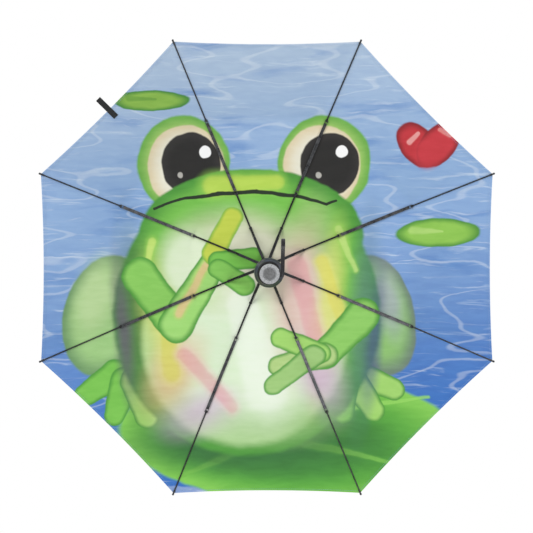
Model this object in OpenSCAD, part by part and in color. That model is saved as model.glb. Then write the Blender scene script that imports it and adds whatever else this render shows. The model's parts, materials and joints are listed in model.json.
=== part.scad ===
// Children's three-fold umbrella with eight ribs and a telescopic shaft, drawn open.
// The shaft stands on Z: the butt of the handle is at z = 0 and the ferrule is at the top.
// A rib turns about the crown wire, and its three sections fold flat beside the shaft.

/* [Canopy frame] */
// Inner rib, from the crown wire to the middle rib's pivot
inner_len = 142; // [120:1:170]
// Middle rib, from pivot to pivot
middle_len = 160; // [140:1:192]
// Outer rib, from its pivot to the end of its tip
outer_len = 192; // [160:1:231]
// Downward slope of the inner ribs when open, in degrees
inner_slope = 7; // [4:1:10]
// Downward slope of the middle ribs when open, in degrees
middle_slope = 16; // [12:1:20]
// Downward slope of the outer ribs when open, in degrees
outer_slope = 29; // [24:1:34]
// Distance of the stretcher's pivot along the inner rib
stretcher_seat = 68; // [56:1:82]
// Stretcher, from the runner wire to its pivot on the inner rib
stretcher_len = 83; // [76:1:100]

/* [Rib sections] */
// Width of an inner rib
inner_w = 3.2; // [2.6:0.1:3.9]
// Height of an inner rib
inner_h = 3.6; // [3.0:0.1:4.2]
// Width of a middle rib
middle_w = 6; // [5.6:0.1:7.2]
// Height of a middle rib
middle_h = 3.6; // [3.0:0.1:4.2]
// Diameter of an outer rib's wire
outer_d = 2.6; // [2:0.1:3]
// Sheet thickness of the pressed ribs
rib_sheet = 0.7; // [0.5:0.1:0.9]
// Diameter of the rivets
rivet_d = 1.6; // [1.2:0.1:2]
// Diameter of the crown and runner wires
wire_d = 1; // [0.8:0.1:1.4]

/* [Shaft] */
// Outside diameter of the lower tube
lower_d = 14; // [12:0.1:17]
// Wall of each tube
tube_wall = 0.7; // [0.5:0.1:0.9]
// Length of the lower tube
lower_len = 196; // [180:1:202]
// Length of the middle tube
middle_tube_len = 194; // [180:1:202]
// Travel of each of the two sliding tubes
travel = 160; // [120:1:166]
// Height of the crown wire when the shaft is pushed in
crown_low = 252; // [252:1:300]

/* [Handle] */
// Diameter of the grip
grip_d = 37; // [33:0.5:45]
// Length of the grip, without its end cap and cup
grip_len = 52; // [46:1:62]
// Wall of the grip
grip_wall = 2.2; // [1.8:0.1:2.6]
// Height of the end cap
cap_h = 10; // [9:0.5:14]
// Height of the cup that takes the rib tips
cup_h = 23; // [20:1:28]
// Diameter of the push button
button_d = 13; // [10:0.5:15]
// Travel of the push button
button_travel = 2.2; // [1:0.1:2.4]
// Width of the wrist strap
strap_w = 7; // [5:0.5:7.5]
// Thickness of the wrist strap's webbing
strap_t = 1.2; // [0.8:0.1:1.4]

/* [Fabric] */
// Thickness of the canopy's cloth
cloth_t = 0.4; // [0.3:0.1:0.6]
// Space between the line of the ribs and the cloth
cloth_lift = 5.2; // [5:0.1:6]
// How far the middle of each gore hangs below the line between its ribs
gore_sag = 6; // [0:1:12]
// How far the hem curves in between two tips
hem_curve = 12; // [0:1:24]

/* [Hidden] */
$fn = 48;
eps = 0.01;

// Ribs stand at eight even turns, with the first one a half turn short of -Y
rib_turn = 45;
first_rib = -112.5;

// Clearances
slide_gap = 0.1;      // tube in tube, on the radius
rivet_gap = 0.1;      // hole round a rivet, on the radius
strut_gap = 0.4;      // sheet beside sheet, across a pivot
slot_gap = 0.4;       // slot round a strut, each side
runner_gap = 0.3;     // runner on the lower tube, on the radius
button_gap = 0.2;     // button in the grip, on the radius
seat_gap = 0.05;      // seat round a piece that never moves

// Pivots: the middle rib folds over the inner rib, the outer rib under the middle rib
fold_room = 1.4;      // space for cloth between two folded ribs
pivot_over = (inner_h + fold_room) / 2;
pivot_under = (outer_d + middle_h + fold_room) / 4 + 0.4;
ear_r = rivet_d / 2 + 0.8;
ear_in = inner_w / 2 + strut_gap + 0.2;
ear_out = middle_w / 2;
head_out = 0.3;

// Crown and runner
hinge_out = 5;        // from the lower tube's surface to the hinge wires
hinge_r = lower_d / 2 + hinge_out;
crown_z = crown_low + 2 * travel;
notch_r = hinge_r + 2.6;
hub_r = hinge_r - 2.3;
slot_w = inner_w + 2 * slot_gap;
plate_z = inner_h / 2 + 0.4;
plate_t = 1.6;
post_r = 4.5;
post_h = 16;
washer_t = 0.6;

// Stretchers: two cheeks beside the inner rib, joined by a web on the shaft's side
cheek_in = inner_w / 2 + strut_gap;
cheek_out = cheek_in + rib_sheet;
cheek_deep = inner_h / 2 + 1.1;
cheek_shallow = 0.6;
web_from = 8;
web_share = 0.62;
strut_neck = 4.2;
stretcher_run = stretcher_seat * cos(inner_slope);
stretcher_drop = stretcher_seat * sin(inner_slope);
stretcher_rise = sqrt(stretcher_len * stretcher_len - stretcher_run * stretcher_run);
stretcher_slope = atan2(stretcher_rise, stretcher_run);
runner_z = crown_z - stretcher_drop - stretcher_rise;
runner_bore = lower_d / 2 + runner_gap;
sleeve_r = runner_bore + 1.3;
runner_slot = 2 * (cheek_out + slot_gap);
runner_flange = hinge_r + 3;
wire_bend = cheek_out * cheek_out / (2 * hinge_r);
wire_hole = wire_d / 2 + wire_bend + rivet_gap;
crown_hole = wire_d / 2 + inner_w * inner_w / (8 * hinge_r) + rivet_gap;

// Rib geometry in its own radial plane: [distance from the shaft, height above the crown wire]
function along(slope, x, up) = [x * cos(slope) + up * sin(slope), up * cos(slope) - x * sin(slope)];
over_pivot = [hinge_r, 0] + along(inner_slope, inner_len, pivot_over);
under_pivot = over_pivot + along(middle_slope, middle_len, -pivot_over - pivot_under);
tip_r = 2.1;

// Folded bundle and the cup that takes its tips
bundle_r = hinge_r + 2 * pivot_over + 2 * pivot_under;
cup_in = bundle_r + tip_r + 2.1;
cup_wall = 1.7;
grip_z = cap_h;
cup_z = grip_z + grip_len;
cup_top = cup_z + cup_h;
cup_floor = cup_z + 6;

// Shaft heights
seat_z = 20;
middle_d = lower_d - 2 * tube_wall - 2 * slide_gap;
upper_d = middle_d - 2 * tube_wall - 2 * slide_gap;
middle_low = seat_z + 12;
upper_low = middle_low + 8;
spring_z = seat_z + 4;
spring_r = upper_d / 2 - tube_wall - 0.4;
spring_wire = 1.2;
spring_turns = 26;

// Handle pieces
grip_r = grip_d / 2;
grip_in = grip_r - grip_wall;
recess_r = grip_r - 6.2;
recess_h = 4;
disc_r = recess_r - 1.9;
button_z = cup_z - 16;
button_r = button_d / 2;
button_face = grip_r + 1.5;
flange_t = 1.3;
flange_r = button_r + 1.2;
flange_y = sqrt(grip_in * grip_in - flange_r * flange_r) - 0.2;
stem_end = lower_d / 2 + button_travel + 0.8;
strap_y = 8.5;
strap_z = cap_h / 2;
strand_y = 1.9;

// Wrist strap's route from the mouth of its slot, [outwards, along, up]: out of the end cap,
// down in a loop, and back into the same slot
strap_route = [
    [-5.9, 1.9, 0], [-1.5, 1.9, 0], [2.3, 0.9, 0], [4.7, -2.1, -0.2], [5.5, -6.5, -0.8],
    [5.5, -13.5, -2.6], [5.5, -21.5, -5.8], [5.5, -30.5, -10.6], [5.5, -39.5, -17], [5.5, -47.5, -25],
    [5.5, -53.5, -34], [5.5, -57.5, -44], [5.5, -59.5, -55], [5.5, -61.1, -59.6], [5.5, -64.5, -62.6],
    [5.5, -68.5, -62.6], [5.5, -71.9, -59.6], [5.5, -73.5, -55], [5.5, -73, -44], [5.5, -69.5, -33],
    [5.5, -63.5, -22.5], [5.5, -55.5, -13.5], [5.5, -46, -6.6], [5.1, -35.5, -2.4], [4.6, -25.5, -0.6],
    [4.3, -16, 0], [3.6, -7.6, 0], [1.7, -3.2, 0], [-1.1, -1.9, 0], [-5.9, -1.9, 0]
];

// ---- helpers ----

module at_rib(k) {
    translate([0, 0, crown_z])
        rotate([0, 0, first_rib + rib_turn * (k - 1)])
            children();
}

// Moves to a point of the radial plane and slopes down from there
module on_rib(point, slope) {
    translate([point[0], 0, point[1]])
        rotate([0, slope, 0])
            children();
}

// Round pin or hole across the rib
module across(r, width) {
    rotate([90, 0, 0])
        cylinder(r = r, h = width, center = true);
}

// A pair of equal cheeks on both sides of the radial plane
module cheeks(inside, outside) {
    for (side = [-1, 1])
        translate([0, side * (inside + outside) / 2, 0])
            rotate([90, 0, 0])
                linear_extrude(height = outside - inside, center = true)
                    children();
}

module ring(outer, inner, z0, z1) {
    translate([0, 0, z0])
        difference() {
            cylinder(r = outer, h = z1 - z0, $fn = 96);
            translate([0, 0, -1])
                cylinder(r = inner, h = z1 - z0 + 2, $fn = 96);
        }
}

module wire_ring(r, wire) {
    rotate_extrude($fn = 96)
        translate([r, 0])
            circle(d = wire, $fn = 24);
}

// Helical wire as one polyhedron, from z = 0 to z = height
module coil(r, wire, height, turns, steps, sides) {
    rings = turns * steps;
    points = [
        for (i = [0:rings], j = [0:sides - 1])
            let (turn = 360 * i / steps,
                 side = 360 * j / sides,
                 reach = r + wire / 2 * cos(side))
            [reach * cos(turn), reach * sin(turn),
             wire / 2 + (height - wire) * i / rings + wire / 2 * sin(side)]
    ];
    walls = [
        for (i = [0:rings - 1], j = [0:sides - 1])
            let (a = i * sides + j, b = i * sides + (j + 1) % sides)
            each [[a, a + sides, b + sides], [a, b + sides, b]]
    ];
    ends = [[for (j = [0:sides - 1]) j], [for (j = [sides - 1:-1:0]) rings * sides + j]];
    polyhedron(points, concat(walls, ends));
}

// ---- frame of the canopy ----

module inner_rib(k) {
    color("#1b1b1d")
    at_rib(k)
    on_rib([hinge_r, 0], inner_slope) {
        difference() {
            union() {
                translate([0, -inner_w / 2, -inner_h / 2])
                    cube([inner_len, inner_w, inner_h]);
                across(inner_h / 2 - 0.1, inner_w);
                translate([inner_len - ear_r, -inner_w / 2, 0])
                    cube([2 * ear_r, inner_w, pivot_over]);
                translate([inner_len, 0, pivot_over])
                    across(ear_r, inner_w);
            }
            translate([8, -inner_w / 2 + rib_sheet, -inner_h])
                cube([inner_len - 16, inner_w - 2 * rib_sheet, inner_h * 1.5 - rib_sheet]);
            across(crown_hole, inner_w + 2);
        }
        translate([inner_len, 0, pivot_over])
            across(rivet_d / 2, middle_w + 2 * head_out);
        translate([stretcher_seat, 0, 0])
            across(rivet_d / 2, inner_w + strut_gap);
    }
}

module middle_rib(k) {
    axis_z = -pivot_over;
    low_z = axis_z - pivot_under;
    color("#9a9ca0")
    at_rib(k)
    on_rib(over_pivot, middle_slope) {
        difference() {
            union() {
                cheeks(ear_in, ear_out) {
                    translate([-ear_r, axis_z - middle_h / 2])
                        square([middle_len + 2 * ear_r, middle_h]);
                    circle(ear_r);
                    translate([-ear_r, axis_z])
                        square([2 * ear_r, pivot_over]);
                    translate([middle_len, low_z])
                        circle(ear_r);
                    translate([middle_len - ear_r, low_z])
                        square([2 * ear_r, pivot_under]);
                }
                translate([6, -middle_w / 2, axis_z + middle_h / 2 - rib_sheet])
                    cube([middle_len - 12, middle_w, rib_sheet]);
            }
            across(rivet_d / 2 + rivet_gap, middle_w + 2);
        }
        translate([middle_len, 0, low_z])
            across(rivet_d / 2, middle_w + 2 * head_out);
    }
}

module outer_rib(k) {
    color("#151517")
    at_rib(k)
    on_rib(under_pivot, outer_slope) {
        difference() {
            union() {
                across(ear_r + 0.1, inner_w);
                translate([-ear_r, -inner_w / 2, 0])
                    cube([2 * ear_r + 1, inner_w, pivot_under + outer_d / 2]);
            }
            across(rivet_d / 2 + rivet_gap, inner_w + 2);
        }
        translate([0, 0, pivot_under])
            rotate([0, 90, 0]) {
                cylinder(d = outer_d, h = outer_len - tip_r);
                translate([0, 0, outer_len - 11])
                    cylinder(r = tip_r * 0.85, h = 11 - tip_r);
                translate([0, 0, outer_len - tip_r])
                    sphere(r = tip_r);
            }
    }
}

module stretcher(k) {
    color("#232326")
    at_rib(k)
    on_rib([hinge_r, runner_z - crown_z], -stretcher_slope) {
        difference() {
            union() {
                cheeks(cheek_in, cheek_out) {
                    translate([strut_neck, -cheek_shallow])
                        square([stretcher_len - 2 * strut_neck, cheek_shallow + cheek_deep]);
                    circle(wire_hole + 0.9);
                    translate([0, -cheek_shallow])
                        square([strut_neck + 1, 2 * cheek_shallow]);
                    translate([stretcher_len, 0])
                        circle(ear_r + 0.2);
                    translate([stretcher_len - strut_neck - 1, -cheek_shallow])
                        square([strut_neck + 1, 2 * cheek_shallow + 0.8]);
                }
                translate([web_from, -cheek_out, cheek_deep - rib_sheet])
                    cube([stretcher_len * web_share, 2 * cheek_out, rib_sheet]);
            }
            across(wire_hole, 2 * cheek_out + 2);
        }
        for (side = [-1, 1])
            translate([stretcher_len, side * (cheek_out + head_out / 2), 0])
                across(ear_r - 0.4, head_out + eps);
    }
}

module crown_wire() {
    color("#b9bbbf")
    translate([0, 0, crown_z])
        wire_ring(hinge_r, wire_d);
}

module crown_notch() {
    color("#121214")
    translate([0, 0, crown_z])
        difference() {
            union() {
                translate([0, 0, -2.6])
                    cylinder(r = notch_r, h = plate_z + plate_t + 2.6, $fn = 96);
                translate([0, 0, -5])
                    cylinder(r = hub_r, h = 6, $fn = 96);
                cylinder(r = post_r, h = post_h);
            }
            for (k = [1:8])
                rotate([0, 0, first_rib + rib_turn * (k - 1)])
                    translate([hub_r, -slot_w / 2, -6])
                        cube([notch_r, slot_w, plate_z + 6]);
            translate([0, 0, -6])
                cylinder(d = upper_d, h = 6 + 1);
            wire_ring(hinge_r, wire_d + 2 * seat_gap);
        }
}

module canopy_washer() {
    color("#2c2c2f")
    translate([0, 0, crown_z])
        ring(hub_r, post_r + seat_gap, plate_z + plate_t, plate_z + plate_t + washer_t);
}

module ferrule_cap() {
    base_z = cloth_lift + cloth_t + 0.2;
    color("#17171a")
    translate([0, 0, crown_z])
        difference() {
            rotate_extrude($fn = 96)
                polygon(concat(
                    [[0, base_z], [hinge_r + 1, base_z], [hinge_r + 1, base_z + 1],
                     [hinge_r, base_z + 1.8], [hinge_r - 4, base_z + 3.4]],
                    [for (a = [0:15:90]) [5.6 * cos(a), base_z + 11 + 3.6 * sin(a)]]
                ));
            translate([0, 0, base_z - 1])
                cylinder(r = post_r + seat_gap, h = post_h - base_z + 1 + seat_gap);
        }
}

module runner_wire() {
    color("#b9bbbf")
    translate([0, 0, runner_z])
        wire_ring(hinge_r, wire_d);
}

module runner() {
    color("#121214")
    translate([0, 0, runner_z])
        difference() {
            union() {
                translate([0, 0, -3])
                    cylinder(r = runner_flange, h = 5.6, $fn = 96);
                translate([0, 0, -19])
                    cylinder(r = sleeve_r, h = 24, $fn = 96);
                translate([0, 0, -19])
                    cylinder(r = sleeve_r + 2, h = 2.4, $fn = 96);
            }
            translate([0, 0, -20])
                cylinder(r = runner_bore, h = 26, $fn = 96);
            for (k = [1:8])
                rotate([0, 0, first_rib + rib_turn * (k - 1)])
                    translate([hinge_r - 2.3, -runner_slot / 2, -4])
                        cube([runner_flange, runner_slot, 8]);
            wire_ring(hinge_r, wire_d + 2 * seat_gap);
        }
}

// ---- cloth ----

// Line of the cloth over a rib: [radius, height above the crown wire]
cloth_line = [
    [post_r + 0.8, cloth_lift],
    [hinge_r + 3, cloth_lift],
    [hinge_r, 0] + along(inner_slope, inner_len / 2, cloth_lift),
    over_pivot + along((inner_slope + middle_slope) / 2, 0, cloth_lift - pivot_over),
    over_pivot + along(middle_slope, middle_len / 2, cloth_lift - pivot_over),
    under_pivot + along((middle_slope + outer_slope) / 2, 0, cloth_lift + pivot_under),
    under_pivot + along(outer_slope, outer_len * 0.35, cloth_lift + pivot_under),
    under_pivot + along(outer_slope, outer_len * 0.7, cloth_lift + pivot_under),
    under_pivot + along(outer_slope, outer_len - 5, cloth_lift + pivot_under)
];
cloth_steps = 6;
cloth_edge = 0.15;

// A point of a gore: i along the rib, u from 0 to 1 across, up through the thickness
function gore_point(i, u, up) =
    let (line = cloth_line[i],
         last = len(cloth_line) - 1,
         far = max(i - 1, 0) / (last - 1),
         bow = 4 * u * (1 - u),
         r = line[0] - (i == last ? hem_curve * bow : 0),
         half = rib_turn / 2,
         gap = cloth_edge / max(line[0], 1) * 180 / PI,
         side = tan(half - gap) * (2 * u - 1),
         x = r * cos(half),
         y = x * side)
    [x, y, line[1] + up - gore_sag * bow * sin(180 * min(far * 1.15, 1))];

module canopy_gore(k) {
    n = len(cloth_line);
    m = cloth_steps + 1;
    points = [
        for (up = [0, cloth_t], i = [0:n - 1], j = [0:cloth_steps])
            gore_point(i, j / cloth_steps, up)
    ];
    top = n * m;
    function at(i, j) = i * m + j;
    quads = [for (i = [0:n - 2], j = [0:cloth_steps - 1]) [at(i, j), at(i + 1, j), at(i + 1, j + 1), at(i, j + 1)]];
    under = [for (q = quads) each [[q[0], q[1], q[2]], [q[0], q[2], q[3]]]];
    over = [for (q = quads) each [[q[2] + top, q[1] + top, q[0] + top], [q[3] + top, q[2] + top, q[0] + top]]];
    rim = concat(
        [for (j = [0:cloth_steps - 1]) [at(0, j), at(0, j + 1)]],
        [for (i = [0:n - 2]) [at(i, cloth_steps), at(i + 1, cloth_steps)]],
        [for (j = [cloth_steps - 1:-1:0]) [at(n - 1, j + 1), at(n - 1, j)]],
        [for (i = [n - 2:-1:0]) [at(i + 1, 0), at(i, 0)]]
    );
    edge = [for (e = rim) each [[e[0], e[1], e[1] + top], [e[0], e[1] + top, e[0] + top]]];
    color(k % 2 == 0 ? "#8fb6e6" : "#7aa7df")
    at_rib(k + 0.5)
        polyhedron(points, concat(under, over, edge));
}

// Closing strap, sewn to the hem between the eighth and the first rib
module tie_strap() {
    hem = gore_point(len(cloth_line) - 1, 0.5, 0);
    color("#141416")
    at_rib(8.5)
    translate([hem[0], 0, hem[2]])
        rotate([0, outer_slope, 0])
            translate([0.4, -5.5, 0])
                cube([40, 11, 1]);
}

// ---- shaft ----

module tube(d, z, length) {
    translate([0, 0, z])
        difference() {
            cylinder(d = d, h = length, $fn = 96);
            translate([0, 0, -1])
                cylinder(d = d - 2 * tube_wall, h = length + 2, $fn = 96);
        }
}

module upper_tube() {
    color("#c9ccd1")
    tube(upper_d, upper_low + 2 * travel, crown_low + 1 - upper_low);
}

module middle_tube() {
    color("#c2c5ca")
    tube(middle_d, middle_low + travel, middle_tube_len);
}

module lower_tube() {
    color("#bcbfc4")
    tube(lower_d, seat_z, lower_len);
}

module main_spring() {
    color("#8d9095")
    translate([0, 0, spring_z])
        coil(spring_r - spring_wire / 2, spring_wire, crown_low - 1 - spring_z, spring_turns, 8, 4);
}

module spring_seat() {
    color("#1a1a1c") {
        translate([0, 0, seat_z - 6])
            cylinder(r = grip_in - seat_gap, h = 6, $fn = 96);
        translate([0, 0, seat_z])
            cylinder(r = lower_d / 2 - tube_wall - seat_gap, h = spring_z - seat_z);
    }
}

// ---- handle ----

module tip_cup() {
    lip_r = cup_in + cup_wall;
    color("#141416")
    rotate_extrude($fn = 128)
        polygon([
            [lower_d / 2 + seat_gap, cup_z], [grip_r + 2, cup_z], [grip_r + 3.4, cup_z + 1.4],
            [cup_in - 1.8, cup_floor + 2], [lip_r - 0.6, cup_floor + 8], [lip_r, cup_floor + 12],
            [lip_r, cup_top - 0.6], [lip_r - 0.6, cup_top], [cup_in + 0.4, cup_top],
            [cup_in, cup_top - 0.6], [cup_in, cup_floor + 11], [cup_in - 1.2, cup_floor + 7],
            [cup_in - 4.2, cup_floor + 2.4], [cup_in - 7.4, cup_floor + 1],
            [lower_d / 2 + 3, cup_floor + 1], [lower_d / 2 + 3, cup_floor + 7],
            [lower_d / 2 + seat_gap, cup_floor + 7]
        ]);
}

module grip() {
    color("#0e0e10")
    difference() {
        rotate_extrude($fn = 128)
            polygon([
                [grip_in, grip_z], [grip_r - 0.5, grip_z], [grip_r, grip_z + 0.5],
                [grip_r, cup_z - 0.5], [grip_r - 0.5, cup_z], [lower_d / 2 + seat_gap, cup_z],
                [lower_d / 2 + seat_gap, cup_z - 3], [grip_in, cup_z - 3]
            ]);
        translate([0, 0, button_z])
            rotate([-90, 0, 0])
                cylinder(r = button_r + button_gap, h = grip_d);
    }
}

module push_button() {
    color("#2a2a2e")
    translate([0, 0, button_z])
        rotate([-90, 0, 0])
            rotate_extrude($fn = 64)
                polygon([
                    [0, flange_y - flange_t], [flange_r, flange_y - flange_t], [flange_r, flange_y],
                    [button_r, flange_y], [button_r, button_face - 0.6], [button_r - 0.6, button_face],
                    [button_r - 2, button_face], [button_r - 2.4, button_face - 0.4],
                    [0, button_face - 0.4]
                ]);
}

module button_catch() {
    color("#77797d")
    translate([0, 0, button_z])
        rotate([-90, 0, 0])
            translate([0, 0, stem_end])
                cylinder(r = 1.6, h = flange_y - flange_t - stem_end);
}

module button_spring() {
    start = lower_d / 2 + 0.3;
    color("#a6a8ac")
    translate([0, 0, button_z])
        rotate([-90, 0, 0])
            translate([0, 0, start])
                coil(3.2, 0.6, flange_y - flange_t - start - 0.05, 5, 10, 4);
}

module end_cap() {
    spigot_r = grip_in - seat_gap;
    color("#a9abad")
    difference() {
        rotate_extrude($fn = 128)
            polygon([
                [0, recess_h], [recess_r, recess_h], [recess_r, 0.4], [recess_r + 0.4, 0],
                [grip_r - 1.2, 0], [grip_r, 1.2], [grip_r, cap_h], [spigot_r, cap_h],
                [spigot_r, seat_z - 6], [0, seat_z - 6]
            ]);
        translate([grip_r + strap_route[0][0] - 1.4, strap_y - strand_y - strap_t, strap_z - strap_w / 2 - 0.2])
            cube([grip_r, 2 * (strand_y + strap_t), strap_w + 0.4]);
    }
}

module end_disc() {
    color("#8b8d8f")
    translate([0, 0, 0.9])
        cylinder(r = disc_r, h = recess_h - 0.9, $fn = 96);
}

// Turns from 0 at the ends of the strap, where it stands on edge, to 1 where it lies flat
function strap_lay(i) =
    let (last = len(strap_route) - 1, near = min(i, last - i) / 8)
    near >= 1 ? 1 : near * near * (3 - 2 * near);

module wrist_strap() {
    route = [for (p = strap_route) [grip_r, strap_y, strap_z] + p];
    last = len(route) - 1;
    points = [
        for (i = [0:last])
            let (ahead = route[min(i + 1, last)] - route[max(i - 1, 0)],
                 run = ahead / norm(ahead),
                 lay = 90 * strap_lay(i),
                 want = [sin(lay), 0, cos(lay)],
                 flat = want - run * (want * run),
                 wide = flat / norm(flat),
                 thick = cross(run, wide))
            for (c = [[-1, -0.5], [-0.9, -1], [0.9, -1], [1, -0.5], [1, 0.5], [0.9, 1], [-0.9, 1], [-1, 0.5]])
                route[i] + wide * c[0] * strap_w / 2 + thick * c[1] * strap_t / 2
    ];
    walls = [
        for (i = [0:last - 1], j = [0:7])
            let (a = i * 8 + j, b = i * 8 + (j + 1) % 8)
            each [[a, a + 8, b + 8], [a, b + 8, b]]
    ];
    ends = [[for (j = [0:7]) j], [for (j = [7:-1:0]) last * 8 + j]];
    color("#101012")
    polyhedron(points, concat(walls, ends));
}

// ---- the nodes ----

for (k = [1:8]) {
    inner_rib(k);
    middle_rib(k);
    outer_rib(k);
    stretcher(k);
    canopy_gore(k);
}
tie_strap();
ferrule_cap();
canopy_washer();
crown_notch();
crown_wire();
runner();
runner_wire();
upper_tube();
middle_tube();
lower_tube();
main_spring();
spring_seat();
tip_cup();
grip();
push_button();
button_catch();
button_spring();
end_cap();
end_disc();
wrist_strap();
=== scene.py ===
"""Children's three-fold umbrella: canopy, straps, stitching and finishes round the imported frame.
Lengths are in metres, and MM turns millimetres into them. The shaft stands on Z, and the canopy
opens at its top.
"""

import bisect
import json
import math

import bmesh
import bpy
from bpy.props import FloatProperty, FloatVectorProperty, PointerProperty
from mathutils import Matrix, Vector


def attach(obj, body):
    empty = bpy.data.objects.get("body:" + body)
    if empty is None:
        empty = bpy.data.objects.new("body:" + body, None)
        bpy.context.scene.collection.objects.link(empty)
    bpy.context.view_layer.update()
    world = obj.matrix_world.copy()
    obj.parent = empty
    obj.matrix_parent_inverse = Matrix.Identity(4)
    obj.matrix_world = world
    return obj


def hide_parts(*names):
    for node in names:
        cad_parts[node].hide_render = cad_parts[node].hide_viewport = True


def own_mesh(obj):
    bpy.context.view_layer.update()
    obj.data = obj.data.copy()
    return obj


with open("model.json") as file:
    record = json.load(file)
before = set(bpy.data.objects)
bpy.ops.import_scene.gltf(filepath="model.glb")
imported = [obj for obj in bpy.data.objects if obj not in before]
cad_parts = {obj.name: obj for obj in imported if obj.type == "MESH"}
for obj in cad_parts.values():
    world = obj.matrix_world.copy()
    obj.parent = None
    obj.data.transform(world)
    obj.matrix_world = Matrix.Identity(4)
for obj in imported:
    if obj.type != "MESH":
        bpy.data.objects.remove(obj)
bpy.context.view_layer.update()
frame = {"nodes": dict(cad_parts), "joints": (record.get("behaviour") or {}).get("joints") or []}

bl_info = {
    "name": "Children's folding umbrella",
    "version": (1, 0, 0),
    "blender": (4, 5, 0),
    "location": "3D View > Sidebar > Umbrella",
    "description": "Canopy, straps, stitching and finishes of a children's folding umbrella",
    "category": "Object",
}

MM = 0.001
RIBS = range(1, 9)
SIDES = (1, -1)
HALF_GORE = math.radians(22.5)
TAN_HALF = math.tan(HALF_GORE)
JOINTS = {joint["name"]: joint for joint in frame["joints"]}


# ---- places taken from the frame ----


def radius_and_height(point):
    """A point's distance from the shaft and its height above the ground plane of the frame."""
    return Vector((math.hypot(point[0], point[1]), point[2]))


def slope_line(slope, along, up):
    """A step along a rib that slopes down, and up at right angles to it: (outwards, upwards)."""
    return Vector(
        (
            along * math.cos(slope) + up * math.sin(slope),
            up * math.cos(slope) - along * math.sin(slope),
        )
    )


CROWN = radius_and_height(JOINTS["canopy_fold"]["pos_m"])
OVER = radius_and_height(JOINTS["middle_rib_1_fold"]["pos_m"])
UNDER = radius_and_height(JOINTS["outer_rib_1_fold"]["pos_m"])
INNER_SLOPE = math.radians(7)
MIDDLE_SLOPE = math.radians(16)
OUTER_SLOPE = math.radians(29)
OUTER_LEN = 192 * MM
RIM_RADIUS = UNDER.x + slope_line(OUTER_SLOPE, OUTER_LEN, 0).x


def rib_turn(k):
    """The turn of rib k about the shaft; the first stands a half gore short of -Y."""
    return math.radians(-112.5 + 45 * (k - 1))


# ---- colours and nodes ----


def linear(code):
    """An sRGB hex colour as the linear red, green and blue that Blender works in."""
    parts = [int(code[i : i + 2], 16) / 255 for i in (1, 3, 5)]
    return tuple(
        c / 12.92 if c <= 0.04045 else ((c + 0.055) / 1.055) ** 2.4 for c in parts
    )


def rgba(colour):
    """A hex code, or a colour of three parts, with full alpha."""
    return (*(linear(colour) if isinstance(colour, str) else colour), 1.0)


def add(tree, kind, inputs=None, **settings):
    """Adds one node with its settings. Each input gets a value, or a socket to link from."""
    node = tree.nodes.new(kind)
    for name, value in settings.items():
        setattr(node, name, value)
    for key, value in (inputs or {}).items():
        if isinstance(value, bpy.types.NodeSocket):
            tree.links.new(value, node.inputs[key])
        else:
            node.inputs[key].default_value = value
    return node


def new_finish(name, **shader):
    """A material with its shader's constants set; returns the material, its tree and the shader."""
    material = bpy.data.materials.new(name)
    material.use_nodes = True
    tree = material.node_tree
    surface = tree.nodes["Principled BSDF"]
    for socket, value in shader.items():
        surface.inputs[socket.replace("_", " ")].default_value = value
    return material, tree, surface


# ---- mesh helpers ----


def plain_object(name, verts, faces, material, uv=None, sharp=50):
    """A mesh object at the origin, smooth but for its edges sharper than the angle in degrees."""
    mesh = bpy.data.meshes.new(name)
    mesh.from_pydata([tuple(v) for v in verts], [], faces)
    mesh.materials.append(material)
    if uv:
        layer = mesh.uv_layers.new(name="plan")
        for loop in mesh.loops:
            layer.data[loop.index].uv = uv[loop.vertex_index]
    mesh.shade_smooth()
    mesh.set_sharp_from_angle(angle=math.radians(sharp))
    obj = bpy.data.objects.new(name, mesh)
    bpy.context.scene.collection.objects.link(obj)
    return obj


def grid_shell(lower, upper, columns, flip):
    """Faces of a thin closed shell over two equal grids of points, given row by row."""
    rows = len(lower) // columns
    top = len(lower)
    faces = []
    for i in range(rows - 1):
        for j in range(columns - 1):
            a = i * columns + j
            quad = (a, a + 1, a + columns + 1, a + columns)
            faces.append(quad)
            faces.append(tuple(top + n for n in reversed(quad)))
    last = rows - 1
    rim = list(range(columns))
    rim += [i * columns + columns - 1 for i in range(1, rows)]
    rim += [last * columns + j for j in range(columns - 2, -1, -1)]
    rim += [i * columns for i in range(last - 1, 0, -1)]
    for a, b in zip(rim, rim[1:] + rim[:1]):
        faces.append((a, top + a, top + b, b))
    return [tuple(reversed(f)) for f in faces] if flip else faces


# ---- the cloth's surface ----


def cloth_profile(gap):
    """The cloth's line over a rib, from the hub to the hem's corner: (radius, height) points."""
    line = [Vector((5.4 * MM, CROWN.y + 4.7 * MM)), Vector((15.2 * MM, CROWN.y + 4.7 * MM))]
    inner = 1.8 * MM + gap
    for along in (17, 34, 60, 90, 122):
        line.append(CROWN + slope_line(INNER_SLOPE, along * MM, inner))
    joint = inner - 2.5 * MM
    line.append(OVER + slope_line((INNER_SLOPE + MIDDLE_SLOPE) / 2, 0, joint))
    for along in (18, 50, 80, 110, 142):
        line.append(OVER + slope_line(MIDDLE_SLOPE, along * MM, joint))
    wire = 3.6 * MM + gap
    line.append(UNDER + slope_line((MIDDLE_SLOPE + OUTER_SLOPE) / 2, 0, wire + 0.2 * MM))
    for along in (20, 60, 100, 140, 172):
        line.append(UNDER + slope_line(OUTER_SLOPE, along * MM, wire))
    line.append(UNDER + slope_line(OUTER_SLOPE, OUTER_LEN - 6 * MM, wire + 0.3 * MM))
    return line


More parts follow.
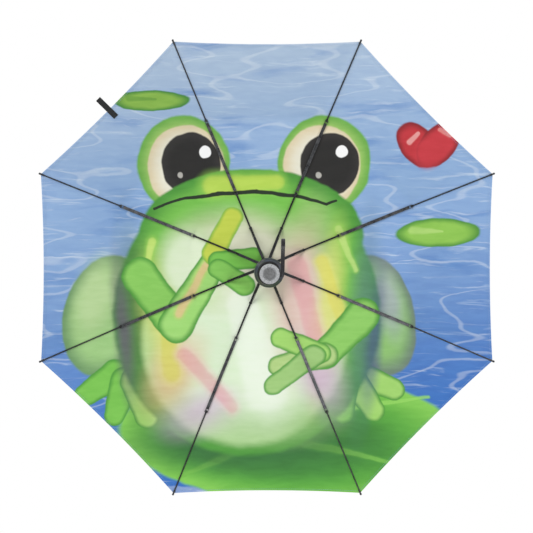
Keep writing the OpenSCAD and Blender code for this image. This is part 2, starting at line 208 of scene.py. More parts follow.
class Cloth:
    """The cloth over one rib and half a gore on each side, as a height over the plan."""

    def __init__(self, sizes):
        self.sizes = sizes
        self.line = cloth_profile(sizes.rib_gap)
        self.radii = [p.x for p in self.line]
        steps = [
            (b.y - a.y) / (b.x - a.x) for a, b in zip(self.line, self.line[1:])
        ]
        self.grades = [steps[0]]
        for a, b in zip(steps, steps[1:]):
            self.grades.append(0 if a * b <= 0 else 2 * a * b / (a + b))
        self.grades.append(steps[-1])
        self.corner = self.radii[-1]

    def height(self, radius):
        """Height of the line over a rib, smooth through every point of the profile."""
        i = min(max(bisect.bisect(self.radii, radius) - 1, 0), len(self.radii) - 2)
        a, b = self.line[i], self.line[i + 1]
        width = b.x - a.x
        t = (radius - a.x) / width
        if not 0 <= t <= 1:
            edge = a if t < 0 else b
            return edge.y + self.grades[i if t < 0 else i + 1] * (radius - edge.x)
        t2, t3 = t * t, t * t * t
        return (
            (2 * t3 - 3 * t2 + 1) * a.y
            + (t3 - 2 * t2 + t) * width * self.grades[i]
            + (3 * t2 - 2 * t3) * b.y
            + (t3 - t2) * width * self.grades[i + 1]
        )

    def surface(self, x, y):
        """Height at x along the rib and y beside it, from the rib to the middle of the gore."""
        radius = x + y * TAN_HALF
        share = min(y / (radius * math.sin(HALF_GORE) * math.cos(HALF_GORE)), 1.0)
        reach = (radius - 20 * MM) / (self.corner - 20 * MM)
        sag = self.sizes.gore_sag * share * (2 - share)
        sag *= math.sin(math.pi * min(max(reach, 0), 1) ** 0.85) if reach > 0 else 0
        lug = 2.4 * MM * math.exp(-(((x - OVER.x) / (4 * MM)) ** 2) - (y / (9 * MM)) ** 2)
        return self.height(radius) + lug - sag

    def place(self, k, side, x, y, up=0.0):
        """A point of the cloth in the frame, on that side of rib k."""
        turn = rib_turn(k)
        across = side * y
        return Vector(
            (
                x * math.cos(turn) - across * math.sin(turn),
                x * math.sin(turn) + across * math.cos(turn),
                self.surface(x, y) + up,
            )
        )

    def hem_point(self, share):
        """The hem's plan place, from the corner over the rib at 0 to the gore's middle at 1."""
        reach = self.corner * math.cos(HALF_GORE)
        reach -= self.sizes.hem_curve * share * (2 - share)
        beside = reach * TAN_HALF * (1 - share)
        middle = Vector((math.cos(HALF_GORE), math.sin(HALF_GORE)))
        chord = Vector((-math.sin(HALF_GORE), math.cos(HALF_GORE)))
        return middle * reach - chord * beside

    def columns(self, width):
        """Places across a half gore of that width: close together at the seam, then even."""
        seam = min(self.sizes.seam_width, width * 0.4)
        edge = seam * 1.12
        count = 12
        even = [edge + (width - edge) * j / count for j in range(count + 1)]
        return [0.0, seam, *even]

    def border(self, radius):
        """Plan places across the half gore at one distance along the rib."""
        return [Vector((radius, y)) for y in self.columns(radius * TAN_HALF)]

    def hem(self):
        """Plan places along the hem's half, matched to the columns of the borders."""
        width = self.corner * math.sin(HALF_GORE)
        return [self.hem_point(y / width) for y in self.columns(width)]


ZONE_ROWS = 18
HUB_EDGE = 16 * MM


def zone_rows(zone):
    """Shares of the way along a zone, closer near its ends, with the hem's band at the last."""
    rows = [0.5 - 0.5 * math.cos(math.pi * i / ZONE_ROWS) for i in range(ZONE_ROWS + 1)]
    if zone != "outer":
        return rows
    return [r for r in rows if r < 0.94] + [0.952, 0.956, 0.978, 1.0]


def plan_uv(point):
    """The print's place: the open canopy seen from below fills the square from 0 to 1."""
    return (0.5 + 0.5 * point.x / RIM_RADIUS, 0.5 + 0.5 * point.y / RIM_RADIUS)


def fold_with_rib(obj, k, zone):
    """The cloth rides on its rib's section, and moves with it as the canopy folds."""
    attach(obj, f"{zone}_{k}")
    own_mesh(obj)


def cloth_piece(cloth, k, side, zone, inner_edge, outer_edge, material):
    """One half gore between two borders, as a closed shell with its seam and hem turned in."""
    sizes = cloth.sizes
    lower, upper, uv = [], [], []
    columns = len(inner_edge)
    for share in zone_rows(zone):
        for j, (a, b) in enumerate(zip(inner_edge, outer_edge)):
            spot = a.lerp(b, share)
            doubled = (zone == "outer" and share > 0.954) or j <= 1
            under = -sizes.turned_in if doubled else 0.0
            lower.append(cloth.place(k, side, spot.x, spot.y, under))
            upper.append(cloth.place(k, side, spot.x, spot.y, sizes.cloth_thickness))
            uv.append(plan_uv(lower[-1]))
    faces = grid_shell(lower, upper, columns, flip=side < 0)
    name = f"canopy_{zone}_{k}_{'left' if side > 0 else 'right'}"
    obj = plain_object(name, lower + upper, faces, material, uv + uv)
    gore = k if side > 0 else (k - 2) % 8 + 1
    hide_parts(f"canopy_gore_{gore}")
    return obj


def cloth_zones(cloth):
    """The zones of a half gore: name, inner edge and outer edge."""
    hub = cloth.border(HUB_EDGE)
    over = cloth.border(OVER.x)
    under = cloth.border(UNDER.x)
    return (("inner", hub, over), ("middle", over, under), ("outer", under, cloth.hem()))


def make_canopy(sizes, colours):
    """The printed cloth: a hub disc, and forty-eight half-gore pieces that meet edge to edge."""
    cloth = Cloth(sizes)
    material = printed_pongee(sizes, colours)
    for k in RIBS:
        for side in SIDES:
            for zone, inner_edge, outer_edge in cloth_zones(cloth):
                piece = cloth_piece(cloth, k, side, zone, inner_edge, outer_edge, material)
                fold_with_rib(piece, k, zone)
    make_hub_cloth(cloth, material)


def make_hub_cloth(cloth, material):
    """The middle of the canopy, held between the crown's plate and the ferrule."""
    radii = [5.4 * MM, 8 * MM, 11 * MM, 14 * MM, HUB_EDGE]
    turns = 96
    lower, upper, uv = [], [], []
    for n in range(turns):
        turn = 2 * math.pi * n / turns
        rib = (turn - rib_turn(1)) % (2 * HALF_GORE)
        off = min(rib, 2 * HALF_GORE - rib)
        for radius in radii:
            stretch = 1 / math.cos(off) if radius == HUB_EDGE else 1.0
            plan = Vector((math.cos(turn), math.sin(turn), 0)) * radius * stretch
            high = cloth.surface(radius, radius * stretch * math.sin(off))
            lower.append(plan + Vector((0, 0, high)))
            upper.append(plan + Vector((0, 0, high + cloth.sizes.cloth_thickness)))
            uv.append(plan_uv(plan))
    count, rings = len(lower), len(radii)
    faces = []
    for n in range(turns):
        a, b = n * rings, (n + 1) % turns * rings
        for i in range(rings - 1):
            faces.append((a + i, b + i, b + i + 1, a + i + 1))
            faces.append(
                (count + a + i, count + a + i + 1, count + b + i + 1, count + b + i)
            )
        faces.append((a, count + a, count + b, b))
        last = rings - 1
        faces.append((a + last, b + last, count + b + last, count + a + last))
    hub = plain_object("canopy_hub", lower + upper, faces, material, uv + uv)
    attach(hub, "top_shaft")


# ---- the print ----


def smooth_mask(tree, reach, soft):
    """1 inside a shape and 0 outside it, where reach is 1 on its outline."""
    low = add(tree, "ShaderNodeMath", {0: 1.0, 1: soft}, operation="SUBTRACT").outputs[0]
    high = add(tree, "ShaderNodeMath", {0: 1.0, 1: soft}, operation="ADD").outputs[0]
    return add(
        tree,
        "ShaderNodeMapRange",
        {0: reach, 1: low, 2: high, 3: 1.0, 4: 0.0},
        interpolation_type="SMOOTHSTEP",
    ).outputs[0]


def painted_group(name, sockets):
    """An empty shader group with a colour coming out and these sockets going in."""
    tree = bpy.data.node_groups.new(name, "ShaderNodeTree")
    tree.interface.new_socket("Colour", in_out="OUTPUT", socket_type="NodeSocketColor")
    for label, kind in sockets:
        tree.interface.new_socket(label, in_out="INPUT", socket_type=f"NodeSocket{kind}")
    return tree, tree.nodes.new("NodeGroupInput").outputs


BRUSH_SOCKETS = [
    ("Under", "Color"),
    ("Fill", "Color"),
    ("Edge", "Color"),
    ("Point", "Vector"),
    ("Soft", "Float"),
    ("Strength", "Float"),
]


def lay_paint(tree, entry, reach):
    """Lays a shape's fill, turning to its edge colour near the outline, over what is under it."""
    mask = smooth_mask(tree, reach, entry["Soft"])
    share = add(
        tree, "ShaderNodeMath", {0: mask, 1: entry["Strength"]}, operation="MULTIPLY"
    ).outputs[0]
    rim = add(
        tree, "ShaderNodeMapRange", {0: reach, 1: 0.62, 2: 1.02}, interpolation_type="SMOOTHSTEP"
    ).outputs[0]
    colour = add(
        tree, "ShaderNodeMix", {0: rim, 6: entry["Fill"], 7: entry["Edge"]}, data_type="RGBA"
    ).outputs[2]
    result = add(
        tree, "ShaderNodeMix", {0: share, 6: entry["Under"], 7: colour}, data_type="RGBA"
    ).outputs[2]
    add(tree, "NodeGroupOutput", {0: result})


def oval_brush():
    """A turned oval: centre, radii and turn in degrees."""
    sockets = [*BRUSH_SOCKETS, ("Centre", "Vector"), ("Radii", "Vector"), ("Turn", "Float")]
    tree, entry = painted_group("Painted oval", sockets)
    local = add(
        tree, "ShaderNodeVectorMath", {0: entry["Point"], 1: entry["Centre"]}, operation="SUBTRACT"
    )
    turn = add(tree, "ShaderNodeMath", {0: entry["Turn"]}, operation="RADIANS")
    turned = add(
        tree,
        "ShaderNodeVectorRotate",
        {"Vector": local.outputs[0], "Angle": turn.outputs[0]},
        rotation_type="Z_AXIS",
    )
    scaled = add(
        tree, "ShaderNodeVectorMath", {0: turned.outputs[0], 1: entry["Radii"]}, operation="DIVIDE"
    )
    reach = add(tree, "ShaderNodeVectorMath", {0: scaled.outputs[0]}, operation="LENGTH")
    lay_paint(tree, entry, reach.outputs["Value"])
    return tree


def stroke_brush():
    """A round-ended stroke between two points, with a half width at each end."""
    sockets = [
        *BRUSH_SOCKETS, ("From", "Vector"), ("To", "Vector"), ("Start", "Float"), ("End", "Float")
    ]
    tree, entry = painted_group("Painted stroke", sockets)
    run = add(
        tree, "ShaderNodeVectorMath", {0: entry["To"], 1: entry["From"]}, operation="SUBTRACT"
    ).outputs[0]
    local = add(
        tree, "ShaderNodeVectorMath", {0: entry["Point"], 1: entry["From"]}, operation="SUBTRACT"
    ).outputs[0]
    over = add(
        tree, "ShaderNodeVectorMath", {0: local, 1: run}, operation="DOT_PRODUCT"
    ).outputs["Value"]
    whole = add(
        tree, "ShaderNodeVectorMath", {0: run, 1: run}, operation="DOT_PRODUCT"
    ).outputs["Value"]
    share = add(
        tree, "ShaderNodeMath", {0: over, 1: whole}, operation="DIVIDE", use_clamp=True
    ).outputs[0]
    along = add(
        tree, "ShaderNodeVectorMath", {0: run, "Scale": share}, operation="SCALE"
    ).outputs[0]
    off = add(
        tree, "ShaderNodeVectorMath", {0: local, 1: along}, operation="DISTANCE"
    ).outputs["Value"]
    half = add(
        tree, "ShaderNodeMix", {0: share, 2: entry["Start"], 3: entry["End"]}, data_type="FLOAT"
    ).outputs[0]
    reach = add(tree, "ShaderNodeMath", {0: off, 1: half}, operation="DIVIDE").outputs[0]
    lay_paint(tree, entry, reach)
    return tree


# A generic frog on a lily pad. Places are in shares of the canopy's radius from its middle:
# right, then down, as seen from below. Ovals have centre, radii and turn; strokes have two
# ends and two half widths. Then come fill, edge, softness and strength.
PAD_EDGE, PAD_DARK = "#4f9436", "#3f8a35"
SKIN, SKIN_DARK, SKIN_LIGHT = "#7cc850", "#4c9a38", "#a9dd72"
BELLY, CREAM, INK = "#e2f4d4", "#f4f0dd", "#1f1d1c"
PINK, LEMON, MAUVE = "#eac4bc", "#e9e77f", "#d9b8dc"
POND = [
    ("oval", (-0.47, -0.68), (0.155, 0.042), 0, "#8dbd4b", PAD_DARK, 0.05, 1),
    ("stroke", (-0.56, -0.69), (-0.45, -0.685), (0.012, 0.004), "#6ea53d", "#6ea53d", 0.4, 0.8),
    ("oval", (0.70, -0.14), (0.168, 0.058), 2, "#93cb52", PAD_EDGE, 0.05, 1),
    ("stroke", (0.60, -0.15), (0.72, -0.145), (0.015, 0.004), "#b8e07a", "#b8e07a", 0.5, 0.8),
    ("oval", (0.615, -0.500), (0.070, 0.105), 38, "#c9303a", "#8f1a24", 0.05, 1),
    ("oval", (0.70, -0.500), (0.070, 0.105), -38, "#cf3540", "#8f1a24", 0.05, 1),
    ("oval", (0.66, -0.47), (0.05, 0.06), 0, "#cf3540", "#cf3540", 0.4, 1),
    ("stroke", (0.585, -0.51), (0.62, -0.545), (0.014, 0.009), "#f2a9a6", "#e26a6a", 0.3, 0.9),
    ("stroke", (0.70, -0.56), (0.745, -0.54), (0.009, 0.014), "#ee9793", "#e26a6a", 0.3, 0.8),
]
LILY = [
    ("oval", (0.10, 0.69), (0.70, 0.27), -3, "#63b83f", "#8bd457", 0.025, 1),
    ("oval", (0.05, 0.70), (0.58, 0.20), -3, PAD_DARK, "#58aa3d", 0.25, 0.9),
    ("stroke", (0.18, 0.60), (0.66, 0.53), (0.02, 0.006), "#9ade63", "#7fcb50", 0.6, 0.8),
    ("stroke", (0.12, 0.72), (0.56, 0.80), (0.02, 0.006), "#86cf55", "#6dbb45", 0.6, 0.7),
    ("stroke", (-0.10, 0.74), (-0.36, 0.86), (0.02, 0.006), "#79c24b", "#6dbb45", 0.6, 0.7),
    ("oval", (-0.08, 0.72), (0.42, 0.10), 0, "#2f6a38", "#2f6a38", 0.6, 0.75),
]
LEGS = [
    ("oval", (-0.66, 0.20), (0.17, 0.25), -14, "#a3cf86", "#6f9a66", 0.03, 1),
    ("oval", (-0.70, 0.12), (0.07, 0.14), -14, "#c6e2a5", "#c6e2a5", 0.6, 0.8),
    ("oval", (0.46, 0.20), (0.15, 0.25), 12, "#93c774", "#73897a", 0.03, 1),
    ("oval", (0.50, 0.14), (0.05, 0.13), 12, "#b5aed0", "#b5aed0", 0.7, 0.6),
    ("stroke", (-0.62, 0.44), (-0.74, 0.52), (0.06, 0.045), SKIN, SKIN_DARK, 0.06, 1),
    ("stroke", (-0.58, 0.47), (-0.62, 0.60), (0.06, 0.045), SKIN, SKIN_DARK, 0.06, 1),
    ("stroke", (-0.54, 0.47), (-0.49, 0.61), (0.06, 0.05), SKIN_LIGHT, SKIN_DARK, 0.06, 1),
    ("stroke", (0.38, 0.45), (0.52, 0.50), (0.06, 0.045), SKIN_LIGHT, SKIN_DARK, 0.06, 1),
    ("stroke", (0.36, 0.47), (0.44, 0.59), (0.06, 0.045), SKIN_LIGHT, SKIN_DARK, 0.06, 1),
    ("stroke", (0.33, 0.47), (0.31, 0.60), (0.06, 0.045), SKIN, SKIN_DARK, 0.06, 1),
]
EYES = [
    ("oval", (-0.34, -0.42), (0.19, 0.20), 0, "#b4d977", "#6fb34a", 0.03, 1),
    ("oval", (-0.33, -0.41), (0.158, 0.17), 0, CREAM, "#e8d8b4", 0.03, 1),
    ("oval", (-0.31, -0.42), (0.122, 0.13), 0, INK, "#2e2b2a", 0.03, 1),
    ("oval", (-0.25, -0.47), (0.024, 0.026), 0, "#ffffff", "#ffffff", 0.1, 1),
    ("oval", (-0.355, -0.375), (0.012, 0.013), 0, "#c9c6bf", "#c9c6bf", 0.2, 0.8),
    ("oval", (0.24, -0.42), (0.19, 0.20), 0, "#b4d977", "#6fb34a", 0.03, 1),
    ("oval", (0.23, -0.41), (0.158, 0.17), 0, CREAM, "#e8d8b4", 0.03, 1),
    ("oval", (0.26, -0.42), (0.122, 0.13), 0, INK, "#2e2b2a", 0.03, 1),
    ("oval", (0.31, -0.47), (0.024, 0.026), 0, "#ffffff", "#ffffff", 0.1, 1),
    ("oval", (0.215, -0.375), (0.012, 0.013), 0, "#c9c6bf", "#c9c6bf", 0.2, 0.8),
]
BODY = [
    ("oval", (-0.08, 0.20), (0.55, 0.57), 0, SKIN, SKIN_DARK, 0.02, 1),
    ("oval", (-0.06, -0.13), (0.46, 0.27), 0, SKIN, SKIN_DARK, 0.02, 1),
    ("oval", (-0.07, 0.02), (0.44, 0.36), 0, SKIN, SKIN, 0.15, 1),
    ("stroke", (-0.22, -0.33), (0.04, -0.345), (0.05, 0.04), "#cbe65c", "#9ad553", 0.7, 0.85),
    ("oval", (-0.54, 0.22), (0.06, 0.30), 4, "#4c6b45", "#4c6b45", 0.9, 0.7),
    ("oval", (0.40, 0.22), (0.05, 0.32), -4, "#5d7f86", "#5d7f86", 0.9, 0.6),
    ("oval", (-0.09, 0.30), (0.42, 0.43), 0, BELLY, "#b8dc9c", 0.05, 1),
    ("oval", (-0.12, -0.02), (0.27, 0.20), 0, "#e9e6cf", "#d9dcb8", 0.4, 0.85),
    ("oval", (0.13, 0.14), (0.09, 0.28), -10, PINK, PINK, 0.9, 0.85),
    ("oval", (0.25, 0.20), (0.05, 0.28), -8, LEMON, LEMON, 0.8, 0.8),
    ("oval", (0.22, 0.45), (0.08, 0.14), 20, MAUVE, MAUVE, 0.9, 0.8),
    ("oval", (-0.43, 0.22), (0.07, 0.22), 8, "#cbd468", "#cbd468", 0.8, 0.8),
    ("oval", (-0.38, 0.44), (0.08, 0.14), -30, "#e3b98f", "#e3b98f", 0.9, 0.8),
    ("oval", (-0.26, 0.60), (0.14, 0.07), 18, MAUVE, MAUVE, 0.9, 0.7),
    ("oval", (0.02, 0.64), (0.20, 0.07), 0, "#a9cf8c", "#a9cf8c", 0.9, 0.7),
    ("oval", (-0.30, 0.01), (0.13, 0.17), 20, "#e6f5d4", "#cfe8b4", 0.30, 0.9),
    ("oval", (-0.59, 0.26), (0.030, 0.22), 6, "#6b4b78", "#6b4b78", 0.9, 0.65),
    ("oval", (0.445, 0.30), (0.028, 0.22), -6, "#4a4f8a", "#4a4f8a", 0.9, 0.65),
    ("stroke", (-0.42, 0.12), (-0.39, 0.44), (0.035, 0.045), "#dcd95e", "#e4e486", 0.7, 0.75),
    ("stroke", (-0.34, 0.36), (-0.14, 0.58), (0.035, 0.030), "#e7a3ac", "#eec3c4", 0.7, 0.65),
    ("stroke", (0.13, 0.00), (0.21, 0.34), (0.055, 0.040), "#ecaeb2", "#efcfc8", 0.7, 0.75),
    ("stroke", (0.23, -0.02), (0.34, 0.30), (0.030, 0.030), "#e9e268", "#e9e77f", 0.6, 0.75),
    ("stroke", (-0.10, 0.16), (0.00, 0.52), (0.080, 0.110), "#f3fceb", "#e2f4d4", 0.8, 0.85),
    ("stroke", (-0.47, -0.10), (-0.50, 0.04), (0.020, 0.012), "#d4ef7c", "#a5dc5e", 0.8, 0.8),
    ("stroke", (0.30, -0.15), (0.37, 0.02), (0.018, 0.012), "#cdec86", "#a5dc5e", 0.8, 0.7),
]
MOUTH = [
    ("stroke", (-0.46, -0.235), (-0.35, -0.275), (0.005, 0.006), "#20301c", INK, 0.25, 1),
    ("stroke", (-0.35, -0.275), (-0.20, -0.300), (0.006, 0.008), "#20301c", INK, 0.25, 1),
    ("stroke", (-0.20, -0.300), (-0.04, -0.305), (0.008, 0.008), "#20301c", INK, 0.25, 1),
    ("stroke", (-0.04, -0.305), (0.12, -0.290), (0.008, 0.008), "#20301c", INK, 0.25, 1),
    ("stroke", (0.12, -0.290), (0.25, -0.255), (0.008, 0.006), "#20301c", INK, 0.25, 1),
    ("stroke", (0.25, -0.255), (0.29, -0.270), (0.006, 0.005), "#20301c", INK, 0.25, 1),
]
ARMS = [
    ("stroke", (-0.52, 0.04), (-0.37, 0.24), (0.075, 0.075), "#8ed060", SKIN_DARK, 0.05, 1),
    ("stroke", (-0.37, 0.24), (-0.21, -0.02), (0.075, 0.055), "#a3dc76", SKIN_DARK, 0.05, 1),
    ("stroke", (-0.36, 0.20), (-0.22, -0.05), (0.020, 0.016), "#e6c690", "#cfd27a", 0.7, 0.85),
    ("stroke", (-0.22, -0.05), (-0.14, -0.20), (0.045, 0.045), "#c9d84e", "#86bd45", 0.08, 1),
    ("stroke", (-0.20, -0.02), (-0.05, -0.03), (0.040, 0.045), SKIN, SKIN_DARK, 0.08, 1),
    ("stroke", (-0.20, 0.01), (-0.09, 0.08), (0.040, 0.045), "#86c95a", SKIN_DARK, 0.08, 1),
    ("stroke", (0.40, 0.20), (0.24, 0.37), (0.07, 0.06), "#93d266", SKIN_DARK, 0.06, 1),
    ("stroke", (0.24, 0.37), (0.05, 0.41), (0.055, 0.042), "#b9d88a", SKIN_DARK, 0.08, 1),
    ("stroke", (0.22, 0.36), (0.06, 0.30), (0.045, 0.042), SKIN_LIGHT, SKIN_DARK, 0.08, 1),
    ("stroke", (0.20, 0.37), (0.03, 0.49), (0.045, 0.042), "#a4cf7e", SKIN_DARK, 0.08, 1),
]
PRINT = [*POND, *LILY, *LEGS, *EYES, *BODY, *MOUTH, *ARMS]


def painted_water(tree, point, colours):
    """Pond water laid on in long level brush strokes, paler at the top and deeper below."""
    axes = add(tree, "ShaderNodeSeparateXYZ", {0: point}).outputs
    tilt = add(
        tree, "ShaderNodeMath", {0: axes[0], 1: 0.12, 2: axes[1]}, operation="MULTIPLY_ADD"
    ).outputs[0]
    share = add(
        tree, "ShaderNodeMapRange", {0: tilt, 1: -1.0, 2: -0.3}, interpolation_type="SMOOTHSTEP"
    ).outputs[0]
    shade = add(
        tree,
        "ShaderNodeMix",
        {0: share, 6: rgba(colours.water_pale), 7: rgba(colours.water_middle)},
        data_type="RGBA",
    ).outputs[2]
    share = add(
        tree, "ShaderNodeMapRange", {0: tilt, 1: -0.35, 2: 0.75}, interpolation_type="SMOOTHSTEP"
    ).outputs[0]
    shade = add(
        tree, "ShaderNodeMix", {0: share, 6: shade, 7: rgba(colours.water_deep)}, data_type="RGBA"
    ).outputs[2]
    strokes = add(tree, "ShaderNodeMapping", {"Vector": point, "Scale": (1.6, 9.0, 1)})
    broad = add(
        tree,
        "ShaderNodeTexNoise",
        {"Vector": strokes.outputs[0], "Scale": 1.3, "Detail": 5.0, "Distortion": 0.4},
    )
    share = add(
        tree,
        "ShaderNodeMapRange",
        {0: broad.outputs[0], 1: 0.50, 2: 0.74, 3: 0.0, 4: 0.75},
        interpolation_type="SMOOTHSTEP",
    ).outputs[0]
    shade = add(
        tree, "ShaderNodeMix", {0: share, 6: shade, 7: rgba(colours.water_patch)}, data_type="RGBA"
    ).outputs[2]
    fine = add(
        tree,
        "ShaderNodeMapping",
        {"Vector": point, "Scale": (3.0, 34.0, 1), "Rotation": (0, 0, 0.1)},
    )
    hairs = add(
        tree,
        "ShaderNodeTexNoise",
        {"Vector": fine.outputs[0], "Scale": 1.5, "Detail": 6.0, "Distortion": 0.9},
    )
    share = add(
        tree,
        "ShaderNodeMapRange",
        {0: hairs.outputs[0], 1: 0.55, 2: 0.75, 3: 0.0, 4: 0.55},
        interpolation_type="SMOOTHSTEP",
    ).outputs[0]
    shade = add(
        tree, "ShaderNodeMix", {0: share, 6: shade, 7: rgba("#dbe8f7")}, data_type="RGBA"
    ).outputs[2]
    swirl = add(
        tree, "ShaderNodeMapping", {"Vector": point, "Scale": (0.8, 3.4, 1), "Location": (3, 1, 0)}
    )
    curls = add(
        tree, "ShaderNodeTexNoise", {"Vector": swirl.outputs[0], "Scale": 2.2, "Detail": 1.0}
    )
    ring = add(tree, "ShaderNodeMath", {0: curls.outputs[0], 1: 0.5}, operation="SUBTRACT")
    line = add(tree, "ShaderNodeMath", {0: ring.outputs[0]}, operation="ABSOLUTE")
    share = add(
        tree,
        "ShaderNodeMapRange",
        {0: line.outputs[0], 1: 0.004, 2: 0.016, 3: 0.28, 4: 0.0},
        interpolation_type="SMOOTHSTEP",
    ).outputs[0]
    return add(
        tree, "ShaderNodeMix", {0: share, 6: shade, 7: rgba("#e6effa")}, data_type="RGBA"
    ).outputs[2]


def printed_pongee(sizes, colours):
    """Polyester pongee with a painted print: matt, with a faint sheen from its fine plain weave."""
    material, tree, surface = new_finish(
        "Printed pongee", Roughness=0.82, IOR=1.5, Sheen_Weight=0.25, Sheen_Roughness=0.5
    )
    uv = add(tree, "ShaderNodeUVMap", uv_map="plan").outputs[0]
    plan = add(
        tree, "ShaderNodeMapping", {"Vector": uv, "Location": (-1, -1, 0), "Scale": (2, 2, 1)}
    ).outputs[0]
    wobble = add(tree, "ShaderNodeTexNoise", {"Vector": plan, "Scale": 9.0, "Detail": 3.0})
    shift = add(
        tree,
        "ShaderNodeVectorMath",
        {0: wobble.outputs[1], 1: (0.5, 0.5, 0.5)},
        operation="SUBTRACT",
    )
    small = add(
        tree, "ShaderNodeVectorMath", {0: shift.outputs[0], "Scale": 0.022}, operation="SCALE"
    )
    point = add(
        tree, "ShaderNodeVectorMath", {0: plan, 1: small.outputs[0]}, operation="ADD"
    ).outputs[0]
    level = add(
        tree, "ShaderNodeVectorMath", {0: point, 1: (1, 1, 0)}, operation="MULTIPLY"
    ).outputs[0]
    colour = painted_water(tree, level, colours)
    oval, stroke = oval_brush(), stroke_brush()
    for kind, first, second, shape, fill, edge, soft, strength in PRINT:
        inputs = {
            "Under": colour,
            "Fill": rgba(fill),
            "Edge": rgba(edge),
            "Point": level,
            "Soft": soft,
            "Strength": strength,
        }
        if kind == "oval":
            inputs |= {"Centre": (*first, 0), "Radii": (*second, 1), "Turn": shape}
        else:
            inputs |= {"From": (*first, 0), "To": (*second, 0), "Start": shape[0], "End": shape[1]}
        brush = oval if kind == "oval" else stroke
        colour = add(tree, "ShaderNodeGroup", inputs, node_tree=brush).outputs[0]
    bristle = add(
        tree,
        "ShaderNodeMapping",
        {"Vector": level, "Scale": (5.0, 22.0, 1), "Rotation": (0, 0, 0.9)},
    )
    grain = add(
        tree,
        "ShaderNodeTexNoise",
        {"Vector": bristle.outputs[0], "Scale": 2.0, "Detail": 7.0, "Distortion": 0.5},
    )
    tone = add(
        tree,
        "ShaderNodeMapRange",
        {0: grain.outputs[0], 1: 0.3, 2: 0.7, 3: 0.40, 4: 0.60},
        interpolation_type="SMOOTHSTEP",
    ).outputs[0]
    grey = add(tree, "ShaderNodeCombineColor", {0: tone, 1: tone, 2: tone}).outputs[0]
    colour = add(
        tree,
        "ShaderNodeMix",
        {0: 0.45, 6: colour, 7: grey},
        data_type="RGBA",
        blend_type="SOFT_LIGHT",
    ).outputs[2]
    tree.links.new(colour, surface.inputs["Base Color"])
    # The real threads stand a quarter of a millimetre apart; they are drawn coarser to show.
    threads = RIM_RADIUS * 2 / sizes.weave_pitch
    cloth_uv = add(
        tree, "ShaderNodeMapping", {"Vector": uv, "Scale": (threads, threads, 1)}
    ).outputs[0]
    warp = add(
        tree,
        "ShaderNodeTexWave",
        {"Vector": cloth_uv, "Scale": 0.31, "Distortion": 0.3},
        bands_direction="X",
    )
    weft = add(
        tree,
        "ShaderNodeTexWave",
        {"Vector": cloth_uv, "Scale": 0.31, "Distortion": 0.3},
        bands_direction="Y",
    )
    weave = add(tree, "ShaderNodeMath", {0: warp.outputs[1], 1: weft.outputs[1]}, operation="ADD")
    bump = add(
        tree, "ShaderNodeBump", {"Height": weave.outputs[0], "Strength": 0.12, "Distance": 0.0002}
    )
    creases = add(tree, "ShaderNodeTexNoise", {"Vector": level, "Scale": 5.0, "Detail": 2.0})
    drape = add(
        tree,
        "ShaderNodeBump",
        {
            "Height": creases.outputs[0],
            "Strength": 0.25,
            "Distance": 0.004,
            "Normal": bump.outputs[0],
        },
    )
    tree.links.new(drape.outputs[0], surface.inputs["Normal"])
    return material


# ---- sewing ----


def stitch_tree():
    """Geometry nodes that lay short round threads end to end along an edge line."""
    tree = bpy.data.node_groups.new("Running stitch", "GeometryNodeTree")
    tree.interface.new_socket("Geometry", in_out="OUTPUT", socket_type="NodeSocketGeometry")
    tree.interface.new_socket("Line", in_out="INPUT", socket_type="NodeSocketGeometry")
    ids = {}
    for label in ("Pitch", "Length", "Radius"):
        socket = tree.interface.new_socket(label, in_out="INPUT", socket_type="NodeSocketFloat")
        ids[label] = socket.identifier
    socket = tree.interface.new_socket("Thread", in_out="INPUT", socket_type="NodeSocketMaterial")
    ids["Thread"] = socket.identifier
    entry = tree.nodes.new("NodeGroupInput").outputs
    curve = add(tree, "GeometryNodeMeshToCurve", {0: entry["Line"]})
    spots = add(
        tree,
        "GeometryNodeCurveToPoints",
        {"Curve": curve.outputs[0], "Length": entry["Pitch"]},
        mode="LENGTH",
    )
    thread = add(
        tree,
        "GeometryNodeMeshCylinder",
        {"Vertices": 5, "Radius": entry["Radius"], "Depth": entry["Length"]},
    )
    laid = add(
        tree,
        "GeometryNodeInstanceOnPoints",
        {
            "Points": spots.outputs["Points"],
            "Instance": thread.outputs["Mesh"],
            "Rotation": spots.outputs["Rotation"],
        },
    )
    real = add(tree, "GeometryNodeRealizeInstances", {0: laid.outputs[0]})
    done = add(
        tree, "GeometryNodeSetMaterial", {"Geometry": real.outputs[0], "Material": entry["Thread"]}
    )
    add(tree, "NodeGroupOutput", {0: done.outputs[0]})
    return tree, ids


def sewn(name, lines, tree, ids, sizes, material):
    """One plain mesh of stitches along lines of points."""
    verts, edges = [], []
    for line in lines:
        first = len(verts)
        verts += [tuple(p) for p in line]
        edges += [(first + i, first + i + 1) for i in range(len(line) - 1)]
    mesh = bpy.data.meshes.new(name)
    mesh.from_pydata(verts, edges, [])
    guide = bpy.data.objects.new(name + "_guide", mesh)
    bpy.context.scene.collection.objects.link(guide)
    nodes = guide.modifiers.new("Stitches", "NODES")
    nodes.node_group = tree
    values = {
        "Pitch": sizes.stitch_pitch,
        "Length": sizes.stitch_pitch * 0.68,
        "Radius": sizes.thread_radius,
        "Thread": material,
    }
    for label, value in values.items():
        nodes[ids[label]] = value
    shown = guide.evaluated_get(bpy.context.evaluated_depsgraph_get())
    result = bpy.data.meshes.new_from_object(shown)
    bpy.data.objects.remove(guide)
    if not result.polygons:
        raise RuntimeError(f"{name} came out without stitches")
    result.name = name
    result.shade_smooth()
    obj = bpy.data.objects.new(name, result)
    bpy.context.scene.collection.objects.link(obj)
    return obj


